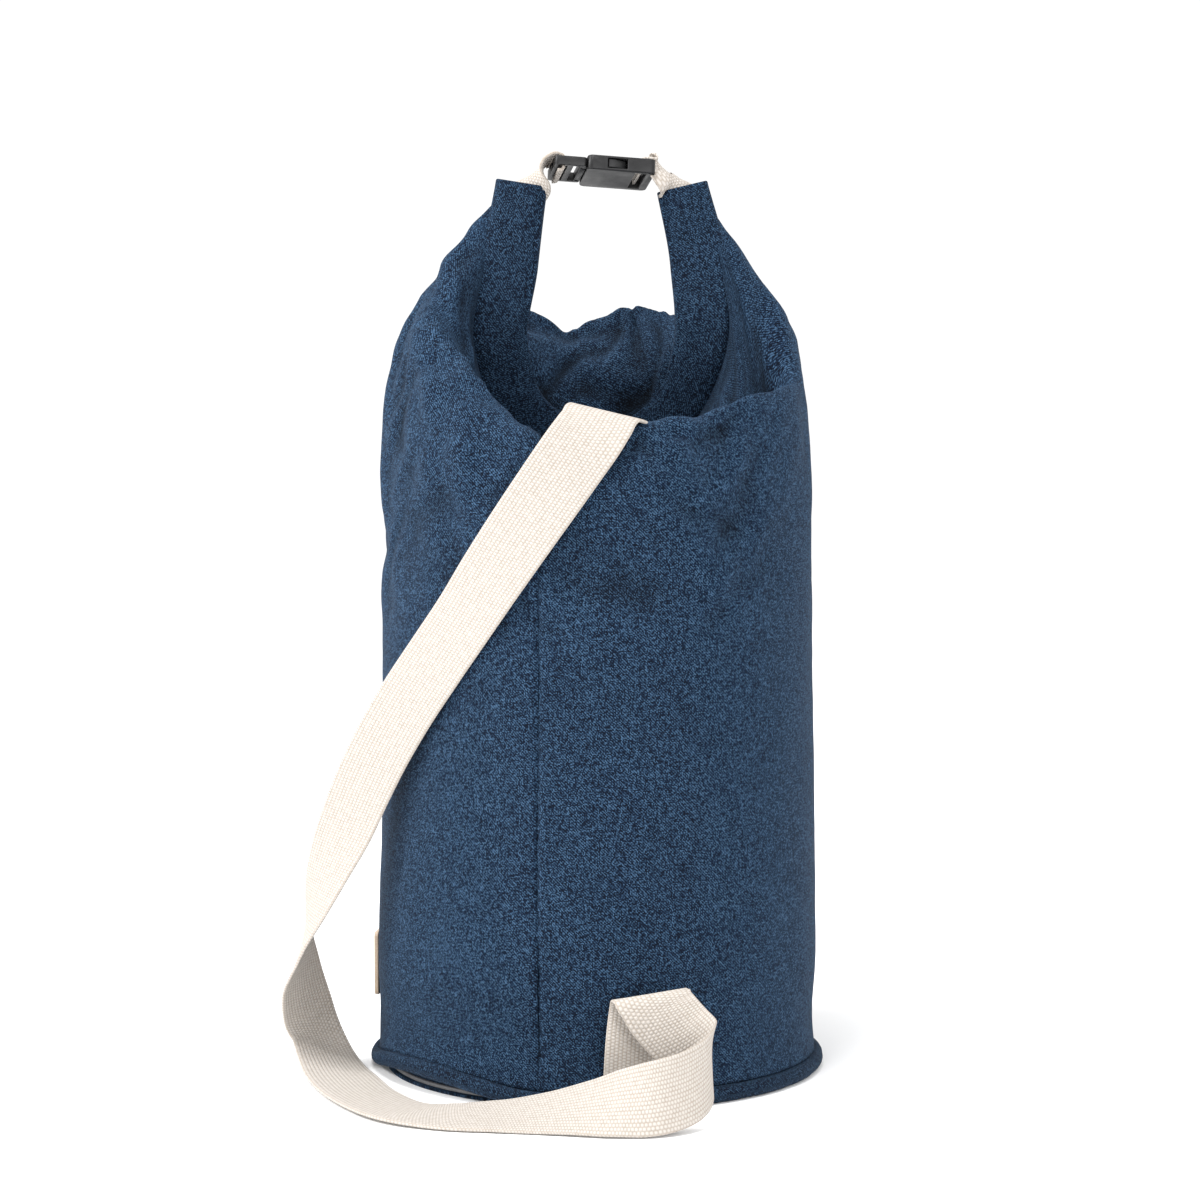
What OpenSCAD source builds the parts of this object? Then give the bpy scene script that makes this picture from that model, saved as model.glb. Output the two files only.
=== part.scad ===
// Roll-top fabric rope bag with a webbing shoulder strap.
// Origin: centre of the base on the floor. +Z up, the strap side faces -Y, +X to the right.

/* [Bag body] */
// Radius of the wall just above the base
base_wall_r = 123; // [110:1:140]
// Radius of the wall at the height of the shoulder
top_wall_r = 118; // [105:1:135]
// Thickness of the outer fabric
fabric_t = 1.6; // [1:0.2:2.4]
// Azimuth of the front seam, from -Y towards +X
seam_azimuth = -15; // [-30:1:30]

/* [Base] */
// Radius of the fabric covered piping
piping_r = 4.5; // [3:0.5:6]
// Radius of the filler cord inside the piping
piping_cord_r = 2.6; // [1:0.1:3]
// Thickness of the stiffener board in the base
board_t = 2; // [1:0.5:4]

/* [Rolled mouth] */
// Height of the rolled mouth across the roll
roll_w = 28; // [20:1:36]
// Thickness of the rolled mouth
roll_t = 13; // [9:1:16]

/* [Buckle] */
// Width of the buckle
buckle_w = 34; // [32:1:40]
// Thickness of the buckle
buckle_t = 8; // [7:0.5:9]
// Width of the webbing that the buckle is made for
webbing_w = 25; // [20:1:26]

/* [Shoulder strap] */
// Width of the shoulder strap
strap_w = 38; // [30:1:50]
// Thickness of the shoulder strap
strap_t = 1.8; // [1.2:0.2:2.4]

/* [Label] */
// Height of the side label
label_h = 36; // [24:1:44]
// Thickness of the side label
label_t = 2.4; // [1.6:0.2:3]

/* [Hidden] */

navy = [0.18, 0.25, 0.34];
deep_navy = [0.13, 0.19, 0.27];
cream = [0.93, 0.89, 0.84];
thread = [0.84, 0.79, 0.71];
black = [0.08, 0.08, 0.09];
board_grey = [0.45, 0.45, 0.46];
leather = [0.76, 0.62, 0.46];

gap = 0.2;
wall_foot_z = 2 * piping_r + 0.4;
shoulder_z = 345;
piping_ring_r = base_wall_r - 0.5;
seam_half_gap = 0.12;

// Centre line of the rolled mouth, evenly spaced from the left end to the right end
ROLL = [[-42, 0, 491], [-48, 0, 447], [-51, 2, 404], [-37, 14, 362], [2, 23, 340],
        [41, 14, 362], [57, 2, 404], [56, 0, 447], [48, 0, 491]];
roll_stop = 0.94;
roll_clear = 3.4;

// The buckle's place and tilt
buckle_centre = [2.5, 0, 497];
buckle_tilt = [-15, 4, 8.5];

// Centre of the strap and the direction that its outer face looks in, from the roll to the base
STRAP = [
  [[8, -26, 356], [0, 0.5, 0.86]],
  [[7, -52, 369], [0, 0.4, 0.9]],
  [[5, -84, 377], [0, 0, 1]],
  [[2, -108, 374], [0, -0.55, 0.83]],
  [[-4, -120, 360], [0, -0.97, 0.25]],
  [[-13, -121, 346], [-0.1, -1, 0]],
  [[-24, -119, 332], [-0.2, -0.98, 0]],
  [[-40, -115, 311], [-0.33, -0.94, 0]],
  [[-56, -108, 285], [-0.46, -0.89, 0]],
  [[-71, -99, 260], [-0.57, -0.82, 0]],
  [[-87, -88, 236], [-0.58, -0.82, 0]],
  [[-102, -77, 212], [-0.56, -0.83, 0]],
  [[-115, -67, 188], [-0.55, -0.83, 0]],
  [[-126, -58, 166], [-0.56, -0.83, 0]],
  [[-136, -50, 143], [-0.62, -0.78, 0]],
  [[-146, -43, 121], [-0.79, -0.62, 0]],
  [[-155, -35, 98], [-0.93, -0.36, 0]],
  [[-162, -26, 74], [-1, 0.05, 0]],
  [[-165, -14, 50], [-0.86, 0.5, 0]],
  [[-162, -6, 29], [-0.7, 0.68, -0.2]],
  [[-155, -9, 13], [-0.5, 0.45, -0.7]],
  [[-147, -28, 4], [-0.2, 0.15, -0.97]],
  [[-138, -60, 2.4], [0, 0, -1]],
  [[-124, -100, 2.4], [0, 0, -1]],
  [[-103, -136, 3], [0, 0.03, -1]],
  [[-77, -151, 3.6], [0, 0.1, -1]],
  [[-50, -155, 4.4], [0, 0.17, -0.98]],
  [[-29, -157, 6], [0, 0.25, -0.97]],
  [[-11, -163, 9], [0.2, 0.4, -0.9]],
  [[6, -174, 14], [0.3, 0.62, -0.7]],
  [[24, -181, 18.5], [0.05, 0.9, -0.4]],
  [[41, -173, 20.5], [-0.55, 0.82, -0.1]],
  [[54, -158, 21], [-0.8, 0.6, 0]],
  [[62, -143, 24], [-0.95, -0.3, 0]],
  [[56, -137, 31], [-0.25, -0.95, 0.1]],
  [[46, -134, 42], [0, -1, 0]],
  [[35.5, -132.5, 55], [0, -0.95, 0.3]],
  [[32, -130, 59.5], [0, 0, 1]],
  [[29.5, -127, 55], [0, 1, 0]],
  [[24, -125.5, 34], [-0.15, 1, 0]],
  [[23, -125, 12], [-0.15, 1, 0]]
];

// ---- vectors and curves ----

function unit(v) = v / norm(v);
function mix(a, b, f) = a + (b - a) * f;
function flatten(lists) = [for (l = lists, item = l) item];

// Catmull-Rom through the points at position u, counted in points
function point_on(pts, u) =
  let (n = len(pts), i = max(0, min(n - 2, floor(u))), f = u - i,
       a = pts[max(0, i - 1)], b = pts[i], c = pts[i + 1], d = pts[min(n - 1, i + 2)])
  0.5 * ((2 * b) + (c - a) * f + (2 * a - 5 * b + 4 * c - d) * f * f
         + (3 * b - a - 3 * c + d) * f * f * f);

function bezier(p, t) =
  let (s = 1 - t)
  s * s * s * p[0] + 3 * s * s * t * p[1] + 3 * s * t * t * p[2] + t * t * t * p[3];

// ---- solids from grids and rings ----

// Triangles of a grid of rows x cols points that starts at index 0
function grid_faces(rows, cols, start, turned) =
  flatten([for (r = [0:rows - 2]) for (c = [0:cols - 2])
    let (a = start + r * cols + c, b = a + 1, d = a + cols, e = d + 1)
    turned ? [[a, d, b], [b, d, e]] : [[a, b, d], [b, e, d]]]);

// Closed sheet: an outer grid and an inner grid of the same size, joined round the rim
module sheet_solid(outer, inner) {
  rows = len(outer);
  cols = len(outer[0]);
  count = rows * cols;
  rim = concat([for (c = [0:cols - 1]) c],
               [for (r = [1:rows - 1]) r * cols + cols - 1],
               [for (c = [cols - 2:-1:0]) (rows - 1) * cols + c],
               [for (r = [rows - 2:-1:1]) r * cols]);
  walls = flatten([for (i = [0:len(rim) - 1])
    let (a = rim[i], b = rim[(i + 1) % len(rim)])
    [[a, count + a, b], [b, count + a, count + b]]]);
  polyhedron(concat(flatten(outer), flatten(inner)),
             concat(grid_faces(rows, cols, 0, false), grid_faces(rows, cols, count, true), walls));
}

// Closed skin over rings of equal length, with flat ends
module ring_solid(rings) {
  n = len(rings[0]);
  last = len(rings) - 1;
  sides = flatten([for (r = [0:last - 1]) for (k = [0:n - 1])
    let (a = r * n + k, b = r * n + (k + 1) % n)
    [[a, b, a + n], [b, b + n, a + n]]]);
  first_cap = [for (k = [1:n - 2]) [0, k + 1, k]];
  last_cap = [for (k = [1:n - 2]) [last * n, last * n + k, last * n + k + 1]];
  polyhedron(flatten(rings), concat(sides, first_cap, last_cap));
}

// Tube with an outer and an inner ring at each station
module pipe_solid(outer, inner) {
  n = len(outer[0]);
  last = len(outer) - 1;
  shift = n * len(outer);
  skin = flatten([for (r = [0:last - 1]) for (k = [0:n - 1])
    let (a = r * n + k, b = r * n + (k + 1) % n)
    [[a, b, a + n], [b, b + n, a + n],
     [shift + a, shift + a + n, shift + b], [shift + b, shift + a + n, shift + b + n]]]);
  caps = flatten([for (k = [0:n - 1])
    let (a = k, b = (k + 1) % n, c = last * n + k, d = last * n + (k + 1) % n)
    [[a, shift + a, b], [b, shift + a, shift + b],
     [c, d, shift + c], [d, shift + d, shift + c]]]);
  polyhedron(concat(flatten(outer), flatten(inner)), concat(skin, caps));
}

// ---- the bag's fabric surface ----

function wall_r(z) = mix(base_wall_r, top_wall_r, z / shoulder_z);
function on_wall(az, z) = [wall_r(z) * sin(az), -wall_r(z) * cos(az), z];

// Position along the roll for an azimuth: 0 at the left end, 8 at the right end
function roll_u(az) =
  let (side = az > 180 ? az - 360 : az, near = abs(side) <= 90 ? side : sign(side) * (180 - abs(side)))
  4 + 4 * roll_stop * near / 90;
function roll_centre(u) = point_on(ROLL, u);
function roll_way(u) = unit(roll_centre(min(8, u + 0.05)) - roll_centre(max(0, u - 0.05)));
function roll_out(u) = let (w = roll_way(u)) unit([w[2], 0, -w[0]]);
function roll_foot(az) =
  let (u = roll_u(az), c = cos(az))
  roll_centre(u) + roll_out(u) * (roll_w / 2 + roll_clear) + [0, -5 * c / sqrt(c * c + 0.015), 0];

// Shares of the near side, the far side and the flanks at an azimuth
function near_share(az) = pow(max(0, cos(az)), 2);
function far_share(az) = pow(max(0, -cos(az)), 2);
function flank_share(az) = pow(sin(az), 2);
function blend3(az, v) = v[0] * near_share(az) + v[1] * far_share(az) + v[2] * flank_share(az);

// Values on the near side, the far side and the flanks: the wall's top, the height and the
// reach from the roll of the lip's upper handle, and how far the wall's own handle rises
WALL_TOP_Z = [335, 350, 350];
LIP_Z = [372, 446, 468];
LIP_REACH = [0.62, 0.62, 0.47];
WALL_LIFT = [60, 92, 56];

// From the top of the wall over the lip and down to the foot of the roll
function shoulder_curve(az) =
  let (foot = roll_foot(az), top = on_wall(az, blend3(az, WALL_TOP_Z)),
       reach = blend3(az, LIP_REACH), lift = blend3(az, WALL_LIFT))
  [top, top + [0, 0, lift],
   [mix(foot[0], top[0], reach), mix(foot[1], top[1], reach), blend3(az, LIP_Z)], foot];

wall_share = 0.6;
function fabric_point(az, t) =
  let (curve = shoulder_curve(az))
  t <= wall_share ? on_wall(az, mix(wall_foot_z, curve[0][2], t / wall_share))
                  : bezier(curve, (t - wall_share) / (1 - wall_share));
function fabric_normal(az, t) =
  let (lo = max(0, t - 0.004), hi = min(1, t + 0.004))
  unit(cross(fabric_point(az + 0.4, t) - fabric_point(az - 0.4, t),
             fabric_point(az, hi) - fabric_point(az, lo)));
function inner_point(az, t) = fabric_point(az, t) - fabric_normal(az, t) * fabric_t;

// The panels reach the roll near the seams' sides and stop at the lip on the flanks
flank_stop = wall_share + 0.3 * (1 - wall_share);
function smooth(f) = let (g = max(0, min(1, f))) g * g * (3 - 2 * g);
function panel_top(az) = mix(flank_stop, 1, smooth((abs(cos(az)) - 0.3) / 0.45));

module panel(from_az, to_az) {
  cols = 37;
  rows = 21;
  azimuths = [for (c = [0:cols - 1]) mix(from_az, to_az, c / (cols - 1))];
  function row_t(az, r) =
    let (f = r / (rows - 1), top = panel_top(az))
    f <= 0.35 ? wall_share * f / 0.35 : mix(wall_share, top, (f - 0.35) / 0.65);
  color(navy)
    sheet_solid([for (r = [0:rows - 1]) [for (az = azimuths) fabric_point(az, row_t(az, r))]],
                [for (r = [0:rows - 1]) [for (az = azimuths) inner_point(az, row_t(az, r))]]);
}

module left_panel() {
  panel(seam_azimuth - 180 + seam_half_gap, seam_azimuth - seam_half_gap);
}

module right_panel() {
  panel(seam_azimuth + seam_half_gap, seam_azimuth + 180 - seam_half_gap);
}

// Fabric between the lip and the roll end, which folds as the roll end swings,
// and the bend of the roll itself
module shoulder(side) {
  cols = 21;
  rows = 10;
  azimuths = [for (c = [0:cols - 1]) side * 90 + mix(-44, 44, c / (cols - 1))];
  color(navy) {
    sheet_solid(
      [for (r = [0:rows - 1]) [for (az = azimuths)
        fabric_point(az, mix(panel_top(az) + 0.006, 1, r / (rows - 1)))]],
      [for (r = [0:rows - 1]) [for (az = azimuths)
        inner_point(az, mix(panel_top(az) + 0.006, 1, r / (rows - 1)))]]);
    roll_length(side < 0 ? 1.75 : 5.55, side < 0 ? 2.45 : 6.25);
  }
}

module left_shoulder() {
  shoulder(-1);
}

module right_shoulder() {
  shoulder(1);
}

// ---- the rolled mouth ----

function roll_ring(u, width, depth, sides) =
  [for (k = [0:sides - 1])
    let (a = 360 * (k + 0.5) / sides, c = cos(a), s = sin(a), flat = pow(abs(c), 0.6) * sign(c),
         tall = pow(abs(s), 0.6) * sign(s))
    roll_centre(u) + roll_out(u) * flat * width / 2 + [0, tall * depth / 2, 0]];

module roll_length(from_u, to_u) {
  steps = ceil((to_u - from_u) / 0.25);
  ring_solid([for (i = [0:steps]) roll_ring(mix(from_u, to_u, i / steps), roll_w, roll_t, 12)]);
}

// A roll end is wound round the flat of its webbing, so it is a tube with a slot
module roll_end(from_u, to_u) {
  steps = 6;
  slot_t = 5;
  us = [for (i = [0:steps]) mix(from_u, to_u, i / steps)];
  pipe_solid([for (u = us) roll_ring(u, roll_w, roll_t, 12)],
             [for (u = us) roll_ring(u, webbing_w + 0.8, slot_t, 12)]);
}

module roll_middle() {
  color(deep_navy) roll_length(2.5, 5.5);
}

module left_roll_end() {
  color(navy) roll_end(0, 1.7);
}

module right_roll_end() {
  color(navy) roll_end(6.3, 8);
}

// ---- base, lining and seams ----

module ring_at(ring_r, tube_r, z) {
  translate([0, 0, z]) rotate_extrude($fn = 96) translate([ring_r, 0]) circle(r = tube_r, $fn = 32);
}

module base_piping_cover() {
  color(navy) difference() {
    ring_at(piping_ring_r, piping_r, piping_r);
    ring_at(piping_ring_r, piping_cord_r + gap, piping_r);
  }
}

module base_piping_cord() {
  color(cream) ring_at(piping_ring_r, piping_cord_r, piping_r);
}

module disc(r, thickness, z) {
  translate([0, 0, z]) cylinder(r = r, h = thickness, $fn = 96);
}

board_z = fabric_t + gap;
lining_z = board_z + board_t + gap;
lining_t = 0.8;
lining_top_z = 318;

module base_panel() {
  color(deep_navy) disc(piping_ring_r - piping_r - gap, fabric_t, 0);
}

module base_board() {
  color(board_grey) disc(piping_ring_r - piping_r - 2, board_t, board_z);
}

module lining_base() {
  color(deep_navy) disc(base_wall_r - 7.2, lining_t, lining_z);
}

module lining_wall() {
  foot = base_wall_r - 6;
  head = top_wall_r - 4;
  foot_z = lining_z + lining_t + gap;
  color(deep_navy) rotate_extrude($fn = 96)
    polygon([[foot - lining_t, foot_z], [foot, foot_z], [head, lining_top_z],
             [head - lining_t, lining_top_z]]);
}

// Tape over the seam allowance, inside the wall
module seam_tape(az) {
  tape_w = 5;
  foot = base_wall_r - fabric_t - 0.6;
  head = top_wall_r - fabric_t - 0.3;
  tape_t = 0.8;
  color(deep_navy) rotate([0, 0, az - 90 - tape_w / 2])
    rotate_extrude(angle = tape_w, $fn = 96)
      polygon([[foot - tape_t, wall_foot_z + 4], [foot, wall_foot_z + 4],
               [head, lining_top_z], [head - tape_t, lining_top_z]]);
}

module front_seam_tape() {
  seam_tape(seam_azimuth);
}

module rear_seam_tape() {
  seam_tape(seam_azimuth + 180);
}

// ---- buckle: local X along the buckle, the female half towards +X, Z out of its flat ----

mouth_x = -10;
male_end_x = -28;
female_end_x = 27.5;
cavity_w = 29;
cavity_h = 5.6;
cavity_depth = 23;
window_x = 1;
window_l = 11;
bar_w = 4.5;
slot_l = 6;
tongue_w = 6;
prong_root_x = mouth_x - 1;
prong_root_y = 10.8;

module in_buckle_frame() {
  translate(buckle_centre) rotate(buckle_tilt) children();
}

module rounded_plate(from_x, to_x, width, thickness, corner) {
  translate([0, 0, -thickness / 2]) linear_extrude(thickness)
    translate([(from_x + to_x) / 2, 0]) offset(corner, $fn = 32)
      square([to_x - from_x - 2 * corner, width - 2 * corner], center = true);
}

module block(from_x, to_x, width, thickness) {
  translate([(from_x + to_x) / 2, 0, 0])
    cube([to_x - from_x, width, thickness], center = true);
}

module buckle_female() {
  color(black) in_buckle_frame() difference() {
    rounded_plate(mouth_x, female_end_x, buckle_w, buckle_t, 3);
    block(mouth_x - 1, mouth_x + cavity_depth, cavity_w, cavity_h);
    block(window_x, window_x + window_l, buckle_w + 2, cavity_h);
    block(female_end_x - bar_w - slot_l, female_end_x - bar_w, webbing_w + 1.5, buckle_t + 2);
  }
}

module buckle_male() {
  color(black) in_buckle_frame() difference() {
    union() {
      rounded_plate(male_end_x, mouth_x - 0.4, buckle_w - 3, 5, 2);
      block(mouth_x - 2, mouth_x + cavity_depth - 4, tongue_w, 4.2);
    }
    for (slot_x = [male_end_x + 3.5, male_end_x + 10.5])
      block(slot_x, slot_x + 3.8, webbing_w + 1.5, 8);
    for (side = [-1, 1])
      translate([prong_root_x, side * prong_root_y, 0])
        cylinder(r = 2.4, h = 8, center = true, $fn = 32);
  }
}

// A springy arm with a barb that latches in the female half's window
module prong(side) {
  reach_x = window_x + window_l - 0.6;
  color(black) in_buckle_frame() {
    translate([0, 0, -2.2]) linear_extrude(4.4) scale([1, side])
      polygon([[prong_root_x, 9.4], [mouth_x + 0.4, 9.4], [reach_x, 9.8], [reach_x, 13.6],
               [window_x + 4, 16.4], [window_x + 0.5, 16.4], [window_x + 0.5, 13.8],
               [mouth_x + 0.4, 12.6], [prong_root_x, 12.2]]);
    translate([prong_root_x, side * prong_root_y, 0])
      cylinder(r = 2.1, h = 4.4, center = true, $fn = 32);
  }
}

module near_prong() {
  prong(-1);
}

module far_prong() {
  prong(1);
}

// ---- webbing between the roll ends and the buckle ----

webbing_t = 1.6;

// Ribbon along a route of [point, face direction]
function ribbon_ring(route, u, width, thickness) =
  let (points = [for (r = route) r[0]], looks = [for (r = route) r[1]],
       top = len(route) - 1, here = point_on(points, u),
       way = unit(point_on(points, min(top, u + 0.04)) - point_on(points, max(0, u - 0.04))),
       across = unit(cross(point_on(looks, u), way)), out = cross(way, across),
       w = across * width / 2, h = out * thickness / 2)
  [here - w - h, here + w - h, here + w + h, here - w + h];

module ribbon(route, width, thickness, per_point) {
  steps = (len(route) - 1) * per_point;
  ring_solid([for (i = [0:steps]) ribbon_ring(route, i / per_point, width, thickness)]);
}

// Buckle frame to bag frame
function turn_x(p, a) = [p[0], p[1] * cos(a) - p[2] * sin(a), p[1] * sin(a) + p[2] * cos(a)];
function turn_y(p, a) = [p[0] * cos(a) + p[2] * sin(a), p[1], p[2] * cos(a) - p[0] * sin(a)];
function turn_z(p, a) = [p[0] * cos(a) - p[1] * sin(a), p[0] * sin(a) + p[1] * cos(a), p[2]];
function turned(p) = turn_z(turn_y(turn_x(p, buckle_tilt[0]), buckle_tilt[1]), buckle_tilt[2]);
function from_buckle(p) = buckle_centre + turned(p);

module left_webbing() {
  slot = male_end_x + 5.4;
  route = [[roll_centre(0.5), [0, -1, 0]],
           [roll_centre(0.28), [0, -1, 0]],
           [roll_centre(0.06), [0, -1, 0]],
           [[-41, 0, 495], [-0.2, -0.97, 0.1]],
           [[-37.5, -1, 499], [-0.7, -0.4, 0.6]],
           [from_buckle([male_end_x - 3, 0, 4.4]), turned([-0.5, 0, 0.85])],
           [from_buckle([male_end_x + 2.2, 0, 4.5]), turned([0, 0, 1])],
           [from_buckle([slot - 0.8, 0, 3.9]), turned([0.6, 0, 0.8])],
           [from_buckle([slot, 0, 1.6]), turned([1, 0, 0])],
           [from_buckle([slot, 0, -1.6]), turned([1, 0, 0])],
           [from_buckle([slot - 0.8, 0, -3.9]), turned([0.6, 0, -0.8])],
           [from_buckle([male_end_x + 2.2, 0, -4.5]), turned([0, 0, -1])]];
  color(cream) ribbon(route, webbing_w, webbing_t, 4);
}

module right_webbing() {
  slot = female_end_x - bar_w - slot_l / 2;
  route = [[roll_centre(7.5), [0, -1, 0]],
           [roll_centre(7.72), [0, -1, 0]],
           [roll_centre(7.94), [0, -1, 0]],
           [[47, 0, 495], [0.2, -0.97, 0.1]],
           [[43, 1.5, 500], [0.7, -0.4, 0.6]],
           [from_buckle([female_end_x + 4, 0, 6]), turned([0.6, 0, 0.8])],
           [from_buckle([female_end_x - 2.4, 0, 6]), turned([0, 0, 1])],
           [from_buckle([slot + 1.4, 0, 5.4]), turned([-0.6, 0, 0.8])],
           [from_buckle([slot, 0, 3]), turned([-1, 0, 0])],
           [from_buckle([slot, 0, -3]), turned([-1, 0, 0])],
           [from_buckle([slot + 1.4, 0, -5.4]), turned([-0.6, 0, -0.8])],
           [from_buckle([female_end_x - 2, 0, -6]), turned([0, 0, -1])]];
  color(cream) ribbon(route, webbing_w, webbing_t, 4);
}

// ---- shoulder strap ----

module shoulder_strap() {
  color(cream) ribbon(STRAP, strap_w, strap_t, 3);
}

// Rows of thread that hold the strap's lower end to the base seam
module strap_base_stitching() {
  stitch_l = 3;
  pitch = 4;
  count = 8;
  middle = STRAP[len(STRAP) - 1][0];
  face_turn = atan(0.15);
  color(thread) for (row = [0:1]) for (i = [0:count - 1])
    translate([middle[0], middle[1], middle[2] + 3 + row * 4]) rotate([0, 0, face_turn])
      translate([(i - (count - 1) / 2) * pitch, -strap_t / 2 - 0.7, 0])
        rotate([0, 90, 0]) cylinder(r = 0.35, h = stitch_l, center = true, $fn = 16);
}

// ---- side label ----

label_w = 22;
label_z = 54;
label_azimuth = -97;
label_r = wall_r(label_z) + 0.5;

module on_flank() {
  rotate([0, 0, label_azimuth - 90]) translate([label_r, 0, label_z]) rotate([0, 90, 0]) children();
}

module side_label() {
  color(leather) on_flank() linear_extrude(label_t) offset(3, $fn = 32)
    square([label_h - 6, label_w - 6], center = true);
}

module label_stitching() {
  pitch = 4;
  inset = 2.5;
  count = 8;
  color(thread) for (side = [-1, 1]) for (i = [0:count - 1])
    on_flank() translate([(i - (count - 1) / 2) * pitch, side * (label_w / 2 - inset), label_t + 0.4])
      rotate([0, 90, 0]) cylinder(r = 0.3, h = 2.8, center = true, $fn = 16);
}

left_panel();
right_panel();
left_shoulder();
right_shoulder();
front_seam_tape();
rear_seam_tape();
base_panel();
base_board();
base_piping_cover();
base_piping_cord();
lining_wall();
lining_base();
roll_middle();
left_roll_end();
right_roll_end();
left_webbing();
right_webbing();
buckle_male();
near_prong();
far_prong();
buckle_female();
shoulder_strap();
strap_base_stitching();
side_label();
label_stitching();
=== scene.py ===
import math

import bmesh
import bpy
import numpy as np
from mathutils import Matrix, Vector


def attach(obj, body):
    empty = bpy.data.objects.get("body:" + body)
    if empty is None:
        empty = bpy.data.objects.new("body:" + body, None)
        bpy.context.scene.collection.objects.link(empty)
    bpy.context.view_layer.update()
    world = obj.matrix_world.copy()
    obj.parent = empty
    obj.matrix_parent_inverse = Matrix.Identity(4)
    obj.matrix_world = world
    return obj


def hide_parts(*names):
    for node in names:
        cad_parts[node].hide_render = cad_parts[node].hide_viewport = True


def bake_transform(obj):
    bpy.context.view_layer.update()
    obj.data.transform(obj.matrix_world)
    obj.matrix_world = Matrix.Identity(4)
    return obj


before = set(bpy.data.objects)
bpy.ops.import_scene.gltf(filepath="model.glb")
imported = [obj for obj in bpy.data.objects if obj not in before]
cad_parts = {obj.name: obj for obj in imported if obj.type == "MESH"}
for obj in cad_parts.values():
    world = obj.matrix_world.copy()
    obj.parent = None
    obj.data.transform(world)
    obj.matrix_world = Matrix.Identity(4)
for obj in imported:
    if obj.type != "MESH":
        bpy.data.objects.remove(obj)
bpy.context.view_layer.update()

MM = 0.001

# ---------------- driving sizes, in metres

base_wall_r = 0.123
top_wall_r = 0.118
shoulder_z = 0.345
piping_r = 0.0045
piping_ring_r = base_wall_r - 0.0005
wall_foot_z = 2 * piping_r + 0.0004
seam_azimuth = -15.0
roll_w = 0.028
roll_t = 0.013
roll_stop = 0.94
webbing_w = 0.025
webbing_t = 0.0016
strap_w = 0.038
strap_t = 0.0018
mean_wall_r = 0.12
buckle_centre = np.array([0.0025, 0.0, 0.497])
buckle_tilt = (-15.0, 4.0, 8.5)

# ---------------- camera, floor and lights

camera_at = Vector((0.0017, -1.9, 0.4212))
camera_pitch = math.radians(4.85)
camera_lens = 102.7
sensor = 36.0


def make_camera():
    data = bpy.data.cameras.new("camera")
    data.lens = camera_lens
    data.sensor_width = sensor
    camera = bpy.data.objects.new("camera", data)
    camera.location = camera_at
    camera.rotation_euler = (math.pi / 2 - camera_pitch, 0, 0)
    bpy.context.scene.collection.objects.link(camera)
    bpy.context.scene.camera = camera


def set_inputs(node, values):
    for name, value in values.items():
        node.inputs[name].default_value = value


def node_material(name):
    material = bpy.data.materials.new(name)
    material.use_nodes = True
    tree = material.node_tree
    shader = tree.nodes["Principled BSDF"]
    return material, tree, shader


def make_floor():
    bpy.ops.mesh.primitive_plane_add(size=12, location=(0, 0, 0))
    floor = bpy.context.object
    floor.name = "floor"
    material, tree, shader = node_material("floor_white")
    set_inputs(shader, {"Base Color": (0.97, 0.97, 0.972, 1), "Roughness": 0.8,
                        "Specular IOR Level": 0.1})
    floor.data.materials.append(material)


def area_light(name, place, target, size, power, colour=(1, 1, 1)):
    data = bpy.data.lights.new(name, "AREA")
    data.shape = "RECTANGLE"
    data.size, data.size_y = size
    data.energy = power
    data.color = colour
    light = bpy.data.objects.new(name, data)
    light.location = place
    light.rotation_euler = (Vector(target) - Vector(place)).to_track_quat("-Z", "Y").to_euler()
    bpy.context.scene.collection.objects.link(light)


def make_lights():
    world = bpy.data.worlds.new("studio")
    bpy.context.scene.world = world
    world.use_nodes = True
    back = world.node_tree.nodes["Background"]
    set_inputs(back, {"Color": (1.0, 1.0, 1.0, 1), "Strength": 1.05})
    middle = (0, 0, 0.25)
    area_light("key", (-1.9, -0.35, 1.5), middle, (0.5, 0.5), 36)
    area_light("low_fill", (-1.5, -1.0, 0.35), middle, (0.8, 0.5), 9)
    area_light("fill", (1.1, -1.7, 0.8), middle, (1.0, 1.4), 20)
    area_light("top", (-0.3, -0.5, 2.2), middle, (0.6, 0.6), 30)
    bpy.context.scene.view_settings.view_transform = "Standard"


make_camera()
make_floor()
make_lights()

# ---------------- materials


def link(tree, source, target):
    tree.links.new(source, target)


def set_values(thing, **values):
    for name, value in values.items():
        setattr(thing, name, value)


def add_node(tree, kind, **values):
    node = tree.nodes.new(kind)
    set_values(node, **values)
    return node


def maths(tree, operation, first, second=None):
    """Math node whose inputs are sockets or numbers."""
    node = add_node(tree, "ShaderNodeMath", operation=operation)
    for socket, value in zip(node.inputs, (first, second)):
        if value is None:
            continue
        if isinstance(value, (int, float)):
            socket.default_value = value
        else:
            link(tree, value, socket)
    return node.outputs[0]


def times(tree, first, second):
    return maths(tree, "MULTIPLY", first, second)


def plus(tree, first, second):
    return maths(tree, "ADD", first, second)


def crown(tree, place):
    """Rounded top of each yarn: 0 between two yarns and 1 on the middle of one."""
    return maths(tree, "ABSOLUTE", maths(tree, "SINE", times(tree, place, math.pi)))


def vector(tree, x, y):
    node = add_node(tree, "ShaderNodeCombineXYZ")
    link(tree, x, node.inputs["X"])
    link(tree, y, node.inputs["Y"])
    return node.outputs[0]


def weave_axes(tree, pitch_across, pitch_along):
    """Place on the cloth, counted in yarns across and along."""
    uv = add_node(tree, "ShaderNodeUVMap", uv_map="weave")
    parts = add_node(tree, "ShaderNodeSeparateXYZ")
    link(tree, uv.outputs["UV"], parts.inputs[0])
    return (maths(tree, "DIVIDE", parts.outputs["X"], pitch_across),
            maths(tree, "DIVIDE", parts.outputs["Y"], pitch_along))


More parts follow.
